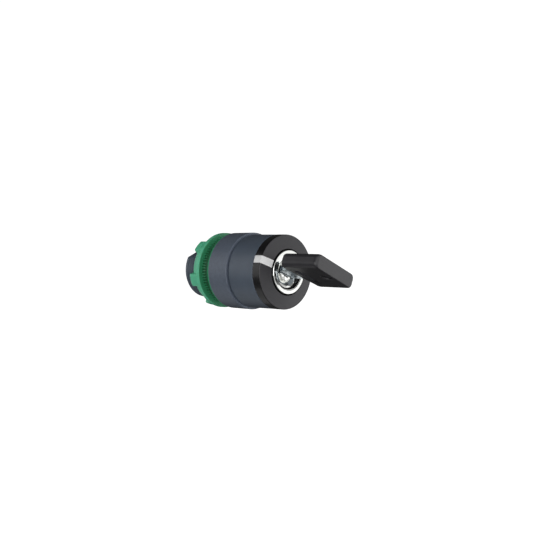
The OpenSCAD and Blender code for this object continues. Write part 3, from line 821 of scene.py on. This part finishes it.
class KEYSWITCH_OT_inner_parts(bpy.types.Operator):
    """Lock body, wafers, cam drum, plungers, springs, guide plate and clips"""
    bl_idname = "keyswitch.inner_parts"
    bl_label = "Inner parts"

    def execute(self, context):
        finishes = plain_finishes(context.scene.switch_colours)
        copies = {
            "lock_body": "zinc", "lock_pin": "steel_pin", "guide_plate": "guide_plastic",
            "guide_clip": "spring_steel", "collar_seal": "seal_rubber", "plug_clip": "spring_steel",
            "wafer_set": "wafer_brass", "cam_drum": "cam_plastic", "plunger_left": "plunger_plastic",
            "plunger_right": "plunger_plastic",
        }
        for node, slot in copies.items():
            carried(node, finishes[slot], slot)
        for node in ("plunger_spring_left", "plunger_spring_right", "wafer_springs"):
            spring = frame["nodes"][node]
            spring.data.materials.clear()
            spring.data.materials.append(finishes["spring_wire"])
        return {"FINISHED"}


# ------------------------------------------------------------------------------------------- studio

def soft_box(azimuth, elevation, radiance, distance=0.6, side=0.42):
    """A square lamp in a direction given in degrees, pointing at the object. Its power is the radiance
    times pi times its area. It lights and reflects, and isn't seen itself."""
    turn, rise = math.radians(azimuth), math.radians(elevation)
    away = Vector((math.cos(rise) * math.cos(turn), math.cos(rise) * math.sin(turn), math.sin(rise)))
    lamp = bpy.data.lights.new("soft_box", "AREA")
    lamp.shape, lamp.size = "SQUARE", side
    lamp.energy = radiance * math.pi * side ** 2
    thing = bpy.data.objects.new("soft_box", lamp)
    bpy.context.scene.collection.objects.link(thing)
    thing.location = Vector((0, -0.02, 0)) + away * distance
    thing.rotation_euler = (-away).to_track_quat("-Z", "Y").to_euler()
    thing.visible_camera = False


class KEYSWITCH_OT_stage(bpy.types.Operator):
    """Pale floor, soft light and the camera"""
    bl_idname = "keyswitch.stage"
    bl_label = "Studio"

    def execute(self, context):
        studio = context.scene.switch_studio
        drop, wide = studio.floor_drop, 12.0
        grid = np.linspace(-wide, wide, 9)
        x, y = np.meshgrid(grid, grid, indexing="ij")
        pale = finish("pale_floor", context.scene.switch_colours.floor, 0.004, 200, (0.8, 0.9), 20, 0.01)
        shine = pale.node_tree.nodes["Principled BSDF"]
        shine.inputs["Emission Color"].default_value = (1, 1, 1, 1)
        shine.inputs["Emission Strength"].default_value = 1.0
        floor = piece("floor", np.stack([x, y, np.full_like(x, -drop)], -1), pale, round_u=False,
                      round_v=False, inside=(0, 0, -1))
        # Lit from below like a light table, and kept out of the object's reflections.
        floor.visible_diffuse = floor.visible_glossy = False
        world = bpy.data.worlds.new("tent")
        context.scene.world = world
        world.use_nodes = True
        tree = world.node_tree
        tree.nodes["Background"].inputs["Color"].default_value = (1, 1, 1, 1)
        # The tent is dim for lighting and plain white where it is seen past the floor's edge.
        seen = add(tree, "ShaderNodeLightPath").outputs["Is Camera Ray"]
        level = add(tree, "ShaderNodeMapRange", scaled(seen, studio.tent, 1.0)).outputs["Result"]
        tree.links.new(level, tree.nodes["Background"].inputs["Strength"])
        for azimuth, elevation, radiance in SOFT_BOXES:
            soft_box(azimuth, elevation, radiance * studio.light)
        c, s = math.cos(studio.elevation), math.sin(studio.elevation)
        away = Vector((c * math.sin(studio.azimuth), -c * math.cos(studio.azimuth), s))
        target = Vector((0.075, -19.977, 0.42)) * MM
        camera = bpy.data.cameras.new("camera")
        camera.lens = studio.lens
        camera.clip_start, camera.clip_end = 0.01, 60
        eye = bpy.data.objects.new("camera", camera)
        context.scene.collection.objects.link(eye)
        facing = (-away).to_track_quat("-Z", "Y").to_matrix().to_4x4()
        eye.matrix_world = (Matrix.Translation(target + away * studio.distance) @ facing
                            @ Matrix.Rotation(-studio.roll, 4, "Z"))
        context.scene.camera = eye
        context.scene.view_settings.view_transform = "Standard"
        return {"FINISHED"}


OPERATORS = (KEYSWITCH_OT_stage, KEYSWITCH_OT_bushing, KEYSWITCH_OT_bezel, KEYSWITCH_OT_collar,
             KEYSWITCH_OT_lock_face, KEYSWITCH_OT_key, KEYSWITCH_OT_panel_nut, KEYSWITCH_OT_inner_parts)
SETTINGS = {"switch_sizes": SwitchSizes, "switch_colours": SwitchColours, "switch_studio": StudioSettings}


class KEYSWITCH_PT_pieces(bpy.types.Panel):
    """Lists the pieces"""
    bl_idname = "KEYSWITCH_PT_pieces"
    bl_label = "Key switch"
    bl_space_type = "VIEW_3D"
    bl_region_type = "UI"
    bl_category = "Key switch"

    def draw(self, context):
        for operator in OPERATORS:
            self.layout.operator(operator.bl_idname)
        for name, group in SETTINGS.items():
            box = self.layout.box()
            for setting in group.__annotations__:
                box.prop(getattr(context.scene, name), setting)


def register():
    for kind in (*SETTINGS.values(), *OPERATORS, KEYSWITCH_PT_pieces):
        bpy.utils.register_class(kind)
    for name, group in SETTINGS.items():
        setattr(bpy.types.Scene, name, bpy.props.PointerProperty(type=group))


def unregister():
    for name in SETTINGS:
        delattr(bpy.types.Scene, name)
    for kind in (KEYSWITCH_PT_pieces, *reversed(OPERATORS), *SETTINGS.values()):
        bpy.utils.unregister_class(kind)


def main():
    register()
    for operator in OPERATORS:
        group, name = operator.bl_idname.split(".")
        getattr(getattr(bpy.ops, group), name)()


if __name__ == "__main__":
    main()
